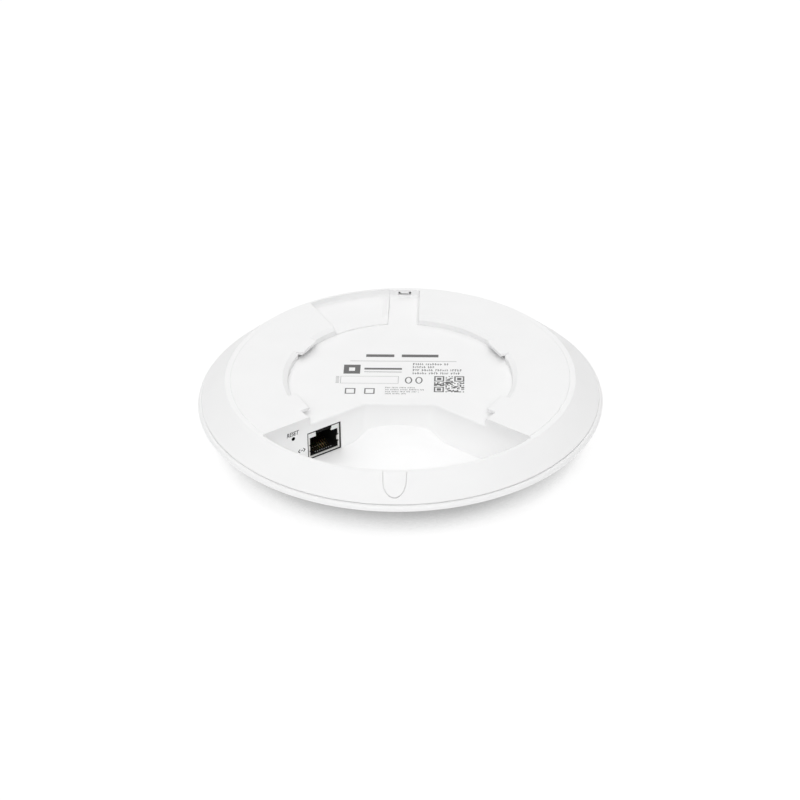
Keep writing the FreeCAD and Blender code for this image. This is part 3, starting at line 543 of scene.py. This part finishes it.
def recess_print():
    """Plain bars, frames and rings, rows of strokes that spell nothing and dots that encode nothing."""
    rng = random.Random(7)
    heading = Print("print_heading", floor_plane, GREY_INK)
    for start, end in ((-14.2, -2.9), (0.1, 14.8)):
        heading.bar(start, 18.3, end, 20.3)
    heading.done()

    rule = Print("print_rule", floor_plane, PALE_INK)
    rule.bar(-20.4, 14.95, 22.1, 15.33)
    rule.done()

    badge = Print("print_badge", floor_plane, GREY_INK)
    badge.frame(-22.7, 5.4, -16.1, 12.2, 2.1)
    badge.bar(-14.5, 8.6, 0.45, 9.9)
    badge.bar(-14.5, 6.7, 0.45, 7.0)
    badge.done()

    lines = Print("print_lines", floor_plane, GREY_INK)
    for y, end in ((13.0, 19.1), (10.75, 14.2), (8.4, 25.8), (6.05, 23.7)):
        words(lines, rng, 4.8, end, y, 1.5)
    for y, end in ((-4.9, 6.8), (-6.4, 10.0), (-7.9, 8.0), (-9.35, 2.7)):
        words(lines, rng, -5.7, end, y, 0.85)
    lines.done()

    box = Print("print_blank_box", floor_plane, PALE_INK)
    box.frame(-23.7, -1.9, -0.65, 3.6, 0.26)
    for row in range(6):
        box.bar(-25.5, -1.6 + row * 0.9, -24.2, -1.1 + row * 0.9)
    box.done()

    marks = Print("print_symbols", floor_plane, GREY_INK)
    marks.ring(3.3, 0.7, (1.45, 2.5), 0.5)
    marks.ring(7.4, 0.7, (1.45, 2.5), 0.5)
    for left, right in ((-21.5, -17.4), (-13.9, -9.8)):
        marks.frame(left, -9.6, right, -5.5, 0.5)
    marks.done()

    matrix = Print("print_dot_matrix", floor_plane, GREY_INK)
    cells, low_x, low_y, size = 21, 13.4, -8.0, 11.9
    cell = size / cells
    corners = ((0, 0), (0, cells - 7), (cells - 7, cells - 7))
    for column, row in corners:
        finder(matrix, low_x + column * cell, low_y + row * cell, 7 * cell)
    for row in range(cells):
        for column in range(cells):
            covered = any(c - 1 <= column <= c + 7 and r - 1 <= row <= r + 7 for c, r in corners)
            if not covered and rng.random() < 0.5:
                x, y = low_x + column * cell, low_y + row * cell
                matrix.bar(x, y, x + cell, y + cell)
    matrix.done()


WALL_TURN = math.radians(36.5)
WALL_FROM = Vector((-33.95, -32.22, 0)) * MM
wall_x = Vector((math.cos(WALL_TURN), math.sin(WALL_TURN), 0))
wall_in = Vector((-math.sin(WALL_TURN), math.cos(WALL_TURN), 0))
wall_basis = Matrix((wall_x, Vector((0, 0, 1)), -wall_in)).transposed().to_4x4()
wall_plane = Matrix.Translation(WALL_FROM - wall_in * 0.002 * MM) @ wall_basis


def wall_print():
    legend = bpy.data.curves.new("print_reset_legend", "FONT")
    legend.body = "RESET"
    legend.size = 2.55 * MM
    legend.shear = 0.18
    legend.extrude = INK_T
    legend.offset = 0.045 * MM
    legend.space_character = 1.04
    legend.materials.append(BLACK_INK)
    narrow = Matrix.Scale(0.765, 4, (1, 0, 0))
    add("print_reset_legend", legend, wall_plane @ Matrix.Translation((-10.5 * MM, 27.05 * MM, 0)) @ narrow)

    port = Print("print_port_symbol", wall_plane, BLACK_INK)
    x, z = -3.9, 18.95
    for side in (-1, 1):
        tip, tail = x + side * 1.8, x + side * 0.75
        port.polygon([(tip, z), (tail, z + 1.0), (tail, z + 0.5), (tip - side * 0.55, z)])
        port.polygon([(tip, z), (tip - side * 0.55, z), (tail, z - 0.5), (tail, z - 1.0)])
    for step in (-0.45, 0.1):
        port.bar(x + step, z - 0.2, x + step + 0.35, z + 0.2)
    port.done()


# Along the wall and up it, in millimetres: left, bottom, right and top
LIP_OUTSIDE = (-1.08, 13.5, 14.1, 25.58)
LIP_INSIDE = (-0.77, 13.93, 13.62, 25.12)
PINHOLE = (-7.5, 25.6)
PLUG_FLOOR_Z = 15.31
CONTACTS, CONTACT_PITCH, CONTACTS_MIDDLE = 8, 1.02, 6.425


def jack_details():
    """Small parts at the jack's mouth and the pinhole."""
    left, bottom, right, top = LIP_OUTSIDE
    inner_left, inner_bottom, inner_right, inner_top = LIP_INSIDE
    # A black gasket lip around the jack, which also serves as painted shade for the dark gap around its
    # frame.
    lip = Print("jack_gasket_lip_and_gap_shade", wall_plane, DEEP_BLACK, -0.4 * MM, -0.02 * MM)
    lip.bar(left, bottom, inner_left, top)
    lip.bar(inner_right, bottom, right, top)
    lip.bar(inner_left, bottom, inner_right, inner_bottom)
    lip.bar(inner_left, inner_top, inner_right, top)
    lip.done()

    notches = Print("jack_notches", wall_plane, DEEP_BLACK, -0.15 * MM, -0.11 * MM)
    notches.bar(2.8, 24.2, 10.05, inner_top)
    for x, z in ((-0.25, 16.7), (-0.25, 19.4), (12.7, 17.0), (12.7, 20.0)):
        notches.bar(x, z, x + 0.4, z + 0.65)
    notches.done()

    spring = Print("jack_spring", wall_plane, TINNED, -0.5 * MM, -0.16 * MM)
    spring.bar(12.3, 17.9, 12.85, 19.7)
    spring.done()

    # Painted shade: a deep black lining inside the pinhole makes the hole dark.
    pinhole_shade_lining = Print("pinhole_painted_shade_lining", wall_plane, DEEP_BLACK, -1.9 * MM, -0.02 * MM)
    pinhole_shade_lining.ring(*PINHOLE, (0.79, 0.79), 0.11)
    pinhole_shade_lining.done()

    floor_basis = Matrix((wall_x, wall_in, Vector((0, 0, 1)))).transposed().to_4x4()
    plug_floor = Matrix.Translation(WALL_FROM + Vector((0, 0, PLUG_FLOOR_Z * MM))) @ floor_basis
    # The contact tips are pale diffuse dots: painted glint in place of the gold contacts' reflection.
    tip_glints = Print("jack_contact_tips_painted_glint", plug_floor, PALE_INK, 0.0, 0.08 * MM)
    for number in range(CONTACTS):
        x = CONTACTS_MIDDLE + (number - (CONTACTS - 1) / 2) * CONTACT_PITCH
        tip_glints.bar(x - 0.2, 0.75, x + 0.2, 1.1)
        tip_glints.bar(x - 0.25, 3.9, x + 0.25, 4.3)
    tip_glints.done()


recess_print()
wall_print()
jack_details()


# Floor, light

def stage():
    """A white light table: it glows evenly, and a painted shadow dims the glow only where the object hides
    it from the front.
    """
    mesh = bpy.data.meshes.new("floor")
    size = 6.0
    corners = [(-size, -size, 0), (size, -size, 0), (size, size, 0), (-size, size, 0)]
    mesh.from_pydata(corners, [], [(0, 1, 2, 3)])
    floor = bpy.data.objects.new("floor", mesh)
    scene.collection.objects.link(floor)
    floor.location.z = -0.05 * MM
    s = Shader("white_table", Roughness=0.9, Specular_IOR_Level=0.1)
    s.set("Base Color", s.blend(s.noise(20.0), (0.28, 0.28, 0.28), (0.3, 0.3, 0.3)))
    flat = s.node("ShaderNodeTexCoord").outputs["Normal"]
    lean = {"Vector": flat, "Angle": math.radians(60)}
    towards_front = s.node("ShaderNodeVectorRotate", lean, rotation_type="X_AXIS").outputs["Vector"]
    inputs = {"Distance": 25 * MM, "Normal": towards_front}
    # Painted shadow: occlusion within 25 mm, about a normal leaning 60 degrees to the front, dims the
    # table's glow near the object.
    painted_shadow_ao = s.node("ShaderNodeAmbientOcclusion", inputs, samples=16)
    glow_with_painted_shadow = s.span(painted_shadow_ao.outputs["AO"], 0.65, 0.72, 0.25, 0.76)
    s.set("Emission Strength", glow_with_painted_shadow)
    s.principled.inputs["Emission Color"].default_value = (1, 1, 1, 1)
    mesh.materials.append(s.material)


def softbox(name, place, size, energy):
    data = bpy.data.lights.new(name, "AREA")
    data.shape = "RECTANGLE"
    data.size, data.size_y = size
    data.energy = energy
    lamp = bpy.data.objects.new(name, data)
    scene.collection.objects.link(lamp)
    lamp.location = place
    lamp.rotation_mode = "QUATERNION"
    lamp.rotation_quaternion = (Vector((0, 0, 0.02)) - Vector(place)).to_track_quat("-Z", "Y")


stage()
softbox("front", (0.0, -1.08, 1.44), (1.6, 1.6), 14.8)
softbox("back", (0.0, 1.08, 1.44), (1.6, 1.6), 9.4)
softbox("left", (-1.26, -0.18, 1.26), (1.6, 1.6), 3.9)
softbox("right", (1.26, -0.18, 1.26), (1.6, 1.6), 2.1)

world = bpy.data.worlds.new("studio")
world.use_nodes = True
world.node_tree.nodes["Background"].inputs["Color"].default_value = (1, 1, 1, 1)
world.node_tree.nodes["Background"].inputs["Strength"].default_value = 0.39
scene.world = world
scene.view_settings.view_transform = "Standard"
scene.view_settings.look = "None"
